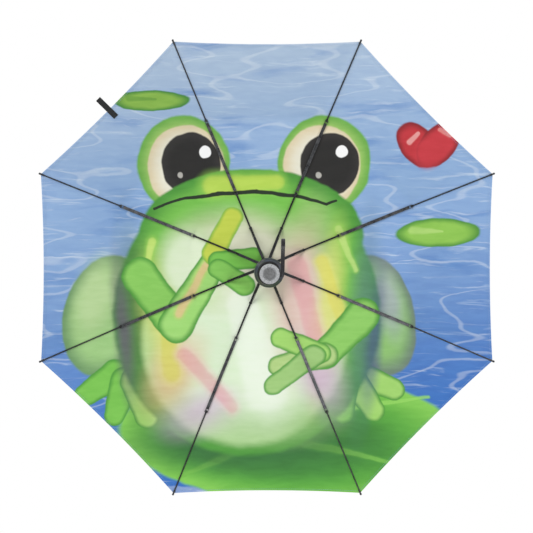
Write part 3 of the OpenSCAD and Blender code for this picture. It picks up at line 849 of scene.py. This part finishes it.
def make_stitching(cloth_sizes, sizes):
    """Running stitch along both faces of the hem, and beside each seam on the outside."""
    cloth = Cloth(cloth_sizes)
    tree, ids = stitch_tree()
    material = sewing_thread()
    top = cloth_sizes.cloth_thickness + sizes.thread_radius * 0.4
    low = -cloth_sizes.turned_in - sizes.thread_radius * 0.4
    samples, start, end = 24, 0.01, 0.985
    beside_seam, hem_line = 1.8 * MM, 0.976
    for k in RIBS:
        for side in SIDES:
            hand = "left" if side > 0 else "right"
            for zone, inner_edge, outer_edge in cloth_zones(cloth):
                seam = []
                for i in range(samples + 1):
                    share = start + (end - start) * i / samples
                    spot = inner_edge[0].lerp(outer_edge[0], share)
                    y = min(beside_seam, spot.x * 0.1)
                    seam.append(cloth.place(k, side, spot.x, y, top))
                lines = [seam]
                if zone == "outer":
                    for up in (top, low):
                        spots = [a.lerp(b, hem_line) for a, b in zip(inner_edge, outer_edge)]
                        lines.append([cloth.place(k, side, p.x, p.y, up) for p in spots])
                piece = sewn(f"stitches_{zone}_{k}_{hand}", lines, tree, ids, sizes, material)
                fold_with_rib(piece, k, zone)


# ---- straps ----


def smooth_route(points, steps):
    """A Catmull-Rom line through the points, with that many steps between each two."""
    line = []
    for i in range(len(points) - 1):
        a, b, c, d = (points[min(max(i + n, 0), len(points) - 1)] for n in (-1, 0, 1, 2))
        for s in range(steps):
            t = s / steps
            line.append(
                0.5
                * (
                    2 * b
                    + (c - a) * t
                    + (2 * a - 5 * b + 4 * c - d) * t * t
                    + (3 * b - a - 3 * c + d) * t**3
                )
            )
    return [*line, points[-1]]


def webbing_strip(name, line, wide_ways, width, thickness, material):
    """A flat woven strip along a line, a little crowned, with rounded selvedges."""
    upper = [(-1, 0), (-0.97, 0.34), (-0.86, 0.5), (-0.4, 0.46)]
    upper += [(0, 0.5), (0.4, 0.46), (0.86, 0.5), (0.97, 0.34)]
    profile = upper + [(-across, -up) for across, up in upper]
    verts, uv, faces, length = [], [], [], 0.0
    count = len(profile)
    for i, point in enumerate(line):
        run = (line[min(i + 1, len(line) - 1)] - line[max(i - 1, 0)]).normalized()
        wide = (wide_ways[i] - run * wide_ways[i].dot(run)).normalized()
        thick = run.cross(wide)
        length += (point - line[i - 1]).length if i else 0
        for across, up in profile:
            verts.append(point + wide * across * width / 2 + thick * up * thickness)
            uv.append((length, across * width / 2))
    for i in range(len(line) - 1):
        for j in range(count):
            a, b = i * count + j, i * count + (j + 1) % count
            faces.append((a, a + count, b + count, b))
    faces.append(tuple(range(count)))
    faces.append(tuple(reversed(range(len(verts) - count, len(verts)))))
    obj = plain_object(name, verts, faces, material, uv, sharp=70)
    tidy = bmesh.new()
    tidy.from_mesh(obj.data)
    bmesh.ops.recalc_face_normals(tidy, faces=tidy.faces)
    tidy.to_mesh(obj.data)
    tidy.free()
    return obj


# The wrist strap's route from the mouth of its slot in the end cap: outwards, along, up.
STRAP_ROUTE = [
    (-5.9, 1.9, 0), (-1.5, 1.9, 0), (2.3, 0.9, 0), (4.7, -2.1, -0.2), (5.5, -6.5, -0.8),
    (5.5, -13.5, -2.6), (5.5, -21.5, -5.8), (5.5, -30.5, -10.6),
    (5.5, -39.5, -17), (5.5, -47.5, -25),
    (5.5, -53.5, -34), (5.5, -57.5, -44), (5.5, -59.5, -55),
    (5.5, -61.1, -59.6), (5.5, -64.5, -62.6),
    (5.5, -68.5, -62.6), (5.5, -71.9, -59.6), (5.5, -73.5, -55), (5.5, -73, -44), (5.5, -69.5, -33),
    (5.5, -63.5, -22.5), (5.5, -55.5, -13.5), (5.5, -46, -6.6),
    (5.1, -35.5, -2.4), (4.6, -25.5, -0.6),
    (4.3, -16, 0), (3.6, -7.6, 0), (1.7, -3.2, 0), (-1.1, -1.9, 0), (-5.9, -1.9, 0),
]
SLOT_MOUTH = Vector((18.5, 8.5, 5)) * MM


def make_wrist_strap(sizes):
    """The limp wrist strap: it leaves its slot on edge, turns flat and hangs in a loop."""
    points = [SLOT_MOUTH + Vector(p) * MM for p in STRAP_ROUTE]
    steps = 4
    line = smooth_route(points, steps)
    last = len(line) - 1
    ways = []
    for i in range(len(line)):
        near = min(min(i, last - i) / (8 * steps), 1.0)
        turn = math.pi / 2 * near * near * (3 - 2 * near)
        ways.append(Vector((math.sin(turn), 0, math.cos(turn))))
    strap = webbing_strip(
        "wrist_strap_webbing", line, ways, sizes.strap_width, sizes.strap_thickness, black_webbing()
    )
    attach(strap, "handle")
    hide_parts("wrist_strap")


def make_closing_strap(cloth_sizes, sizes):
    """The closing strap, sewn to the hem between the eighth and first ribs, with its patch."""
    cloth = Cloth(cloth_sizes)
    turn = rib_turn(8) + HALF_GORE
    out = Vector((math.cos(turn), math.sin(turn), 0))
    beside = Vector((-math.sin(turn), math.cos(turn), 0))
    edge = cloth.place(8, 1, *cloth.hem_point(1.0))
    line = []
    steps, under_hem = 12, 0.4
    for i in range(steps + 1):
        go = (i / steps - under_hem) * sizes.closing_length
        fall = math.tan(OUTER_SLOPE) * go + cloth_sizes.turned_in + 0.9 * MM
        line.append(edge + out * go - Vector((0, 0, fall)))
    strap = webbing_strip(
        "closing_strap", line, [beside] * len(line), sizes.closing_width, 1.0 * MM, black_webbing()
    )
    patch_line = [p + Vector((0, 0, 0.9 * MM)) for p in line[7:12]]
    patch = webbing_strip(
        "closing_strap_patch",
        patch_line,
        [beside] * len(patch_line),
        sizes.closing_width * 0.84,
        0.9 * MM,
        hook_pile(),
    )
    for piece in (strap, patch):
        fold_with_rib(piece, 8, "outer")
    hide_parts("tie_strap")


# ---- finishes ----


def black_webbing():
    """Woven polyester webbing: dull black, with a herringbone of yarns a millimetre apart."""
    material, tree, surface = new_finish(
        "Woven black webbing", Roughness=0.78, Sheen_Weight=0.35, Sheen_Roughness=0.4
    )
    uv = add(tree, "ShaderNodeUVMap", uv_map="plan").outputs[0]
    axes = add(tree, "ShaderNodeSeparateXYZ", {0: uv}).outputs
    side = add(tree, "ShaderNodeMath", {0: axes[1]}, operation="ABSOLUTE").outputs[0]
    slant = add(
        tree, "ShaderNodeMath", {0: side, 1: 0.9, 2: axes[0]}, operation="MULTIPLY_ADD"
    ).outputs[0]
    phase = add(
        tree, "ShaderNodeMath", {0: slant, 1: 2 * math.pi / (1.0 * MM)}, operation="MULTIPLY"
    ).outputs[0]
    yarn = add(tree, "ShaderNodeMath", {0: phase}, operation="SINE").outputs[0]
    tone = add(
        tree, "ShaderNodeMapRange", {0: yarn, 1: -1.0, 2: 1.0}, interpolation_type="SMOOTHSTEP"
    ).outputs[0]
    colour = add(
        tree, "ShaderNodeMix", {0: tone, 6: rgba("#0e0e10"), 7: rgba("#2b2b2e")}, data_type="RGBA"
    ).outputs[2]
    tree.links.new(colour, surface.inputs["Base Color"])
    bump = add(tree, "ShaderNodeBump", {"Height": tone, "Strength": 0.7, "Distance": 0.0003})
    tree.links.new(bump.outputs[0], surface.inputs["Normal"])
    return material


def hook_pile():
    """The hooked half of a touch fastener: black nylon bristles that scatter the light."""
    material, tree, surface = new_finish("Nylon hook pile", Roughness=0.6)
    where = add(tree, "ShaderNodeTexCoord").outputs["Object"]
    hooks = add(tree, "ShaderNodeTexVoronoi", {"Vector": where, "Scale": 900.0})
    tone = add(
        tree,
        "ShaderNodeMapRange",
        {0: hooks.outputs[0], 1: 0.1, 2: 0.6},
        interpolation_type="SMOOTHSTEP",
    ).outputs[0]
    colour = add(
        tree, "ShaderNodeMix", {0: tone, 6: rgba("#343438"), 7: rgba("#0b0b0c")}, data_type="RGBA"
    ).outputs[2]
    tree.links.new(colour, surface.inputs["Base Color"])
    bump = add(tree, "ShaderNodeBump", {"Height": tone, "Strength": 0.8, "Distance": 0.0005})
    tree.links.new(bump.outputs[0], surface.inputs["Normal"])
    return material


def sewing_thread():
    """Spun polyester thread in the water's blue, with a soft twist to it."""
    material, tree, surface = new_finish("Blue sewing thread", Roughness=0.7, Sheen_Weight=0.3)
    where = add(tree, "ShaderNodeTexCoord").outputs["Object"]
    twist = add(tree, "ShaderNodeTexNoise", {"Vector": where, "Scale": 1500.0, "Detail": 1.0})
    colour = add(
        tree,
        "ShaderNodeMix",
        {0: twist.outputs[0], 6: rgba("#6f93c6"), 7: rgba("#b4cbe9")},
        data_type="RGBA",
    ).outputs[2]
    tree.links.new(colour, surface.inputs["Base Color"])
    return material


def worn_finish(name, dark, light, grain, rough, bump_depth, stretch=(1, 1, 1), **shader):
    """A finish whose colour, gloss and surface vary with a grain of a real size in metres."""
    material, tree, surface = new_finish(name, **shader)
    where = add(tree, "ShaderNodeTexCoord").outputs["Object"]
    placed = add(tree, "ShaderNodeMapping", {"Vector": where, "Scale": stretch}).outputs[0]
    noise = add(
        tree, "ShaderNodeTexNoise", {"Vector": placed, "Scale": 1 / grain, "Detail": 4.0}
    ).outputs[0]
    broad = add(
        tree, "ShaderNodeTexNoise", {"Vector": where, "Scale": 0.06 / grain, "Detail": 2.0}
    ).outputs[0]
    both = add(tree, "ShaderNodeMath", {0: noise, 1: broad}, operation="ADD").outputs[0]
    tone = add(
        tree, "ShaderNodeMapRange", {0: both, 1: 0.7, 2: 1.3}, interpolation_type="SMOOTHSTEP"
    ).outputs[0]
    colour = add(
        tree, "ShaderNodeMix", {0: tone, 6: rgba(dark), 7: rgba(light)}, data_type="RGBA"
    ).outputs[2]
    tree.links.new(colour, surface.inputs["Base Color"])
    gloss = add(
        tree,
        "ShaderNodeMapRange",
        {0: both, 1: 0.6, 2: 1.4, 3: rough[0], 4: rough[1]},
        interpolation_type="SMOOTHSTEP",
    ).outputs[0]
    tree.links.new(gloss, surface.inputs["Roughness"])
    bump = add(tree, "ShaderNodeBump", {"Height": noise, "Strength": 0.4, "Distance": bump_depth})
    tree.links.new(bump.outputs[0], surface.inputs["Normal"])
    return material


def turned_disc(colours):
    """The grey insert of the butt, turned on a lathe: fine rings on it catch the light."""
    material, tree, surface = new_finish("Turned grey insert", Metallic=0.55)
    where = add(tree, "ShaderNodeTexCoord").outputs["Object"]
    flat = add(
        tree, "ShaderNodeVectorMath", {0: where, 1: (1, 1, 0)}, operation="MULTIPLY"
    ).outputs[0]
    off = add(tree, "ShaderNodeVectorMath", {0: flat}, operation="LENGTH").outputs["Value"]
    phase = add(
        tree, "ShaderNodeMath", {0: off, 1: 2 * math.pi / (0.9 * MM)}, operation="MULTIPLY"
    ).outputs[0]
    ring = add(tree, "ShaderNodeMath", {0: phase}, operation="SINE").outputs[0]
    cloud = add(
        tree, "ShaderNodeTexNoise", {"Vector": where, "Scale": 220.0, "Detail": 4.0}
    ).outputs[0]
    both = add(
        tree, "ShaderNodeMath", {0: ring, 1: 0.25, 2: cloud}, operation="MULTIPLY_ADD"
    ).outputs[0]
    tone = add(
        tree, "ShaderNodeMapRange", {0: both, 1: 0.1, 2: 0.9}, interpolation_type="SMOOTHSTEP"
    ).outputs[0]
    colour = add(
        tree,
        "ShaderNodeMix",
        {0: tone, 6: rgba("#5d5e5f"), 7: rgba(colours.disc)},
        data_type="RGBA",
    ).outputs[2]
    tree.links.new(colour, surface.inputs["Base Color"])
    gloss = add(
        tree,
        "ShaderNodeMapRange",
        {0: both, 1: 0.1, 2: 0.9, 3: 0.30, 4: 0.48},
        interpolation_type="SMOOTHSTEP",
    ).outputs[0]
    tree.links.new(gloss, surface.inputs["Roughness"])
    bump = add(tree, "ShaderNodeBump", {"Height": ring, "Strength": 0.35, "Distance": 0.0001})
    tree.links.new(bump.outputs[0], surface.inputs["Normal"])
    return material


def give_finish(material, *nodes):
    """Puts a material in the slots of frame pieces."""
    for node in nodes:
        slots = frame["nodes"][node].data.materials
        for i in range(max(len(slots), 1)):
            if i < len(slots):
                slots[i] = material
            else:
                slots.append(material)


def finish_ribs(colours):
    """Coated steel for the ribs and stretchers, bright wire at the hinges."""
    black = worn_finish(
        "Black coated steel", colours.rib_black, "#3b3b3e", 0.6 * MM, (
            0.26, 0.42
        ), 0.00004, Metallic=0.35, Coat_Weight=0.3, Coat_Roughness=0.2
    )
    grey = worn_finish(
        "Dark grey coated steel", colours.rib_grey, "#6c6d70", 0.6 * MM, (
            0.24, 0.40
        ), 0.00004, Metallic=0.6, Coat_Weight=0.2, Coat_Roughness=0.25
    )
    wire = worn_finish(
        "Drawn steel wire", "#8b8d90", "#c5c7ca", 0.4 * MM, (0.22, 0.4), 0.00002, Metallic=1.0
    )
    for k in RIBS:
        give_finish(black, f"inner_rib_{k}", f"outer_rib_{k}", f"stretcher_{k}")
        give_finish(grey, f"middle_rib_{k}")
    give_finish(wire, "crown_wire", "runner_wire", "button_catch")


def finish_shaft():
    """Plated tubes drawn lengthwise, spring steel, and the moulded crown and runner."""
    tube = worn_finish(
        "Nickel-plated tube",
        "#bfc1c4",
        "#cfd1d4",
        0.5 * MM,
        (0.10, 0.24),
        0.00002,
        stretch=(1, 1, 0.04),
        Metallic=1.0,
    )
    spring = worn_finish(
        "Oiled spring steel", "#55575a", "#8f9194", 0.5 * MM, (0.25, 0.45), 0.00002, Metallic=1.0
    )
    nylon = worn_finish(
        "Moulded black nylon", "#111113", "#232326", 0.35 * MM, (0.42, 0.6), 0.00006, IOR=1.53
    )
    give_finish(tube, "lower_tube", "middle_tube", "upper_tube")
    give_finish(spring, "main_spring", "button_spring")
    give_finish(nylon, "crown_notch", "canopy_washer", "runner", "spring_seat")


def finish_handle(colours):
    """Polished grip, moulded cup, button and ferrule, silver-grey end cap and turned insert."""
    grip = worn_finish(
        "Polished black ABS",
        "#0b0b0d",
        "#19191c",
        3 * MM,
        (0.08, 0.17),
        0.00001,
        IOR=1.54,
        Coat_Weight=0.5,
        Coat_Roughness=0.05,
    )
    cup = worn_finish(
        "Moulded black ABS", "#101012", "#222225", 0.5 * MM, (0.28, 0.42), 0.00005, IOR=1.54
    )
    button = worn_finish(
        "Soft black button", "#1d1d20", "#303034", 0.4 * MM, (0.4, 0.55), 0.00006, IOR=1.5
    )
    cap = worn_finish(
        "Silver-grey lacquered ABS",
        "#b3b5b7",
        colours.end_cap,
        0.3 * MM,
        (0.22, 0.36),
        0.00002,
        Metallic=0.55,
        Coat_Weight=0.4,
        Coat_Roughness=0.12,
    )
    give_finish(grip, "grip")
    give_finish(cup, "tip_cup", "ferrule_cap")
    give_finish(button, "push_button")
    give_finish(cap, "end_cap")
    give_finish(turned_disc(colours), "end_disc")


# ---- stage ----


def make_stage(stage):
    """A pale floor far below, even soft light, and a camera almost in line with the shaft."""
    floor_z, floor_size = -10.0, 400
    bpy.ops.mesh.primitive_plane_add(size=floor_size, location=(0, 0, floor_z))
    floor = bpy.context.object
    floor.name = "floor"
    paper, tree, surface = new_finish("Pale floor", Roughness=0.9)
    surface.inputs["Base Color"].default_value = rgba("#f4f4f4")
    floor.data.materials.append(paper)
    world = bpy.data.worlds.new("Studio")
    world.use_nodes = True
    tree = world.node_tree
    ambient = tree.nodes["Background"]
    ambient.inputs[1].default_value = stage.fill_light
    seen = add(tree, "ShaderNodeBackground", {0: (1, 1, 1, 1), 1: 1.0})
    ambient.inputs[0].default_value = (1, 1, 1, 1)
    path = add(tree, "ShaderNodeLightPath")
    both = add(
        tree,
        "ShaderNodeMixShader",
        {0: path.outputs["Is Camera Ray"], 1: ambient.outputs[0], 2: seen.outputs[0]},
    )
    tree.links.new(both.outputs[0], tree.nodes["World Output"].inputs[0])
    bpy.context.scene.world = world
    for name, place, size, power in (
        ("key_below", (-1.6, -1.8, -2.2), 2.2, stage.key_light),
        ("fill_below", (2.2, 1.4, -1.8), 2.5, stage.key_light * 0.45),
        ("key_above", (-1.8, -2.2, 3.6), 2.4, stage.key_light * 1.2),
        ("side_soft", (3.2, -1.2, 1.2), 2.0, stage.key_light * 0.5),
    ):
        light = bpy.data.lights.new(name, "AREA")
        light.energy, light.size = power, size
        lamp = bpy.data.objects.new(name, light)
        lamp.location = place
        aim = Vector((0, 0, 0.4)) - Vector(place)
        lamp.rotation_euler = aim.to_track_quat("-Z", "Y").to_euler()
        bpy.context.scene.collection.objects.link(lamp)
    camera = bpy.data.objects.new("camera", bpy.data.cameras.new("camera"))
    camera.data.lens = stage.lens
    camera.data.clip_end = 100
    place = Vector((stage.camera_right, -stage.camera_up, CROWN.y - stage.distance))
    look = (Vector((stage.aim_right, -stage.aim_up, CROWN.y)) - place).normalized()
    right = look.cross(Vector((0, -1, 0))).normalized()
    up = right.cross(look)
    turn = Matrix((right, up, -look)).transposed().to_4x4()
    camera.matrix_world = Matrix.Translation(place) @ turn
    bpy.context.scene.collection.objects.link(camera)
    bpy.context.scene.camera = camera
    bpy.context.scene.view_settings.view_transform = "Standard"


# ---- settings ----


def length_prop(name, text, value):
    """A length in metres, shown with its unit."""
    return FloatProperty(
        name=name, description=text, default=value, subtype="DISTANCE", unit="LENGTH", precision=5
    )


def colour_prop(name, text, code):
    """A colour, given as its sRGB hex code."""
    return FloatVectorProperty(
        name=name, description=text, default=linear(code), subtype="COLOR", size=3, min=0, max=1
    )


class ClothSizes(bpy.types.PropertyGroup):
    """Sizes of the canopy's cloth."""

    rib_gap: length_prop("Gap over the ribs", "Space between the ribs and the cloth", 0.45 * MM)
    cloth_thickness: length_prop("Cloth thickness", "Thickness the cloth is drawn with", 0.4 * MM)
    gore_sag: length_prop("Gore sag", "How far the middle of a gore hangs below its ribs", 6 * MM)
    hem_curve: length_prop("Hem curve", "How far the hem curves in between two tips", 5 * MM)
    seam_width: length_prop("Seam width", "Width of cloth turned in at each seam", 3.4 * MM)
    turned_in: length_prop("Turned-in cloth", "Extra thickness of the seams and the hem", 0.3 * MM)
    weave_pitch: length_prop("Weave pitch", "Distance between threads as drawn", 1.2 * MM)


class PrintColours(bpy.types.PropertyGroup):
    """Colours of the printed water."""

    water_pale: colour_prop("Pale water", "Water at the top", "#b4c9e2")
    water_middle: colour_prop("Middle water", "Water across the middle", "#93b4e0")
    water_deep: colour_prop("Deep water", "Water at the bottom", "#3573c6")
    water_patch: colour_prop("Water patches", "Broad strokes in the water", "#5c8acb")


class TrimSizes(bpy.types.PropertyGroup):
    """Sizes of the straps and the stitching."""

    strap_width: length_prop("Wrist strap width", "Width of the wrist strap's webbing", 7 * MM)
    strap_thickness: length_prop(
        "Wrist strap thickness", "Thickness of the wrist strap's webbing", 1.2 * MM
    )
    closing_width: length_prop("Closing strap width", "Width of the closing strap", 11 * MM)
    closing_length: length_prop(
        "Closing strap length",
        "Length of the closing strap, two fifths of it under the hem",
        48 * MM,
    )
    stitch_pitch: length_prop("Stitch pitch", "Distance from one stitch to the next", 3.6 * MM)
    thread_radius: length_prop("Thread radius", "Radius of the thread as drawn", 0.25 * MM)


class FinishColours(bpy.types.PropertyGroup):
    """Colours of the frame and the handle."""

    rib_black: colour_prop("Black ribs", "Inner and outer ribs, and stretchers", "#161618")
    rib_grey: colour_prop("Grey ribs", "Middle ribs", "#333437")
    end_cap: colour_prop("End cap", "Silver-grey rim of the butt", "#c3c5c7")
    disc: colour_prop("End disc", "Insert in the middle of the butt", "#8f9091")


class StageSettings(bpy.types.PropertyGroup):
    """Camera and light."""

    lens: FloatProperty(
        name="Lens",
        description="Focal length in millimetres on a 36 mm sensor",
        default=275.5,
        min=20,
    )
    distance: length_prop("Camera distance", "Distance of the camera below the crown", 8.0)
    camera_right: length_prop("Camera right", "Camera's place to the right of the shaft", -0.093)
    camera_up: length_prop("Camera up", "Camera's place above the shaft, as seen", 0.22)
    aim_right: length_prop("Aim right", "What the camera looks at, right of the crown", 0.001)
    aim_up: length_prop("Aim up", "What the camera looks at, above the crown", -0.002)
    fill_light: FloatProperty(
        name="Fill light",
        description="Strength of the even light from all round",
        default=0.62,
        min=0,
    )
    key_light: FloatProperty(
        name="Key light", description="Power of the main soft light in watts", default=55.0, min=0
    )


SETTINGS = {
    "umbrella_cloth": ClothSizes,
    "umbrella_print": PrintColours,
    "umbrella_trim": TrimSizes,
    "umbrella_finish": FinishColours,
    "umbrella_stage": StageSettings,
}


# ---- operators ----


class UMBRELLA_OT_stage(bpy.types.Operator):
    """Make the floor, the lights and the camera."""

    bl_idname = "umbrella.stage"
    bl_label = "Stage"

    def execute(self, context):
        make_stage(context.scene.umbrella_stage)
        return {"FINISHED"}


class UMBRELLA_OT_wrist_strap(bpy.types.Operator):
    """Make the limp wrist strap that hangs from the end cap."""

    bl_idname = "umbrella.wrist_strap"
    bl_label = "Wrist strap"

    def execute(self, context):
        make_wrist_strap(context.scene.umbrella_trim)
        return {"FINISHED"}


class UMBRELLA_OT_canopy(bpy.types.Operator):
    """Make the printed canopy, its pieces riding on the ribs as they fold."""

    bl_idname = "umbrella.canopy"
    bl_label = "Canopy"

    def execute(self, context):
        make_canopy(context.scene.umbrella_cloth, context.scene.umbrella_print)
        return {"FINISHED"}


class UMBRELLA_OT_stitching(bpy.types.Operator):
    """Sew the hem and the seams."""

    bl_idname = "umbrella.stitching"
    bl_label = "Stitching"

    def execute(self, context):
        make_stitching(context.scene.umbrella_cloth, context.scene.umbrella_trim)
        return {"FINISHED"}


class UMBRELLA_OT_closing_strap(bpy.types.Operator):
    """Make the closing strap on the hem."""

    bl_idname = "umbrella.closing_strap"
    bl_label = "Closing strap"

    def execute(self, context):
        make_closing_strap(context.scene.umbrella_cloth, context.scene.umbrella_trim)
        return {"FINISHED"}


class UMBRELLA_OT_frame_finish(bpy.types.Operator):
    """Finish the ribs, stretchers, tubes, crown and runner."""

    bl_idname = "umbrella.frame_finish"
    bl_label = "Frame finish"

    def execute(self, context):
        finish_ribs(context.scene.umbrella_finish)
        finish_shaft()
        return {"FINISHED"}


class UMBRELLA_OT_handle_finish(bpy.types.Operator):
    """Finish the grip, cup, button, end cap and ferrule."""

    bl_idname = "umbrella.handle_finish"
    bl_label = "Handle finish"

    def execute(self, context):
        finish_handle(context.scene.umbrella_finish)
        return {"FINISHED"}


OPERATORS = (
    UMBRELLA_OT_stage,
    UMBRELLA_OT_wrist_strap,
    UMBRELLA_OT_canopy,
    UMBRELLA_OT_stitching,
    UMBRELLA_OT_closing_strap,
    UMBRELLA_OT_frame_finish,
    UMBRELLA_OT_handle_finish,
)


class UMBRELLA_PT_pieces(bpy.types.Panel):
    """Settings and steps of the umbrella."""

    bl_label = "Folding umbrella"
    bl_idname = "UMBRELLA_PT_pieces"
    bl_space_type = "VIEW_3D"
    bl_region_type = "UI"
    bl_category = "Umbrella"

    def draw(self, context):
        for name in SETTINGS:
            group = getattr(context.scene, name)
            box = self.layout.box()
            for prop in group.bl_rna.properties:
                if prop.identifier not in ("rna_type", "name"):
                    box.prop(group, prop.identifier)
        for operator in OPERATORS:
            self.layout.operator(operator.bl_idname)


CLASSES = (*SETTINGS.values(), *OPERATORS, UMBRELLA_PT_pieces)


def register():
    for cls in CLASSES:
        bpy.utils.register_class(cls)
    for name, group in SETTINGS.items():
        setattr(bpy.types.Scene, name, PointerProperty(type=group))


def unregister():
    for name in SETTINGS:
        delattr(bpy.types.Scene, name)
    for cls in reversed(CLASSES):
        bpy.utils.unregister_class(cls)


def main():
    register()
    for operator in OPERATORS:
        group, name = operator.bl_idname.split(".")
        getattr(getattr(bpy.ops, group), name)()
    bpy.context.view_layer.update()


if __name__ == "__main__":
    main()
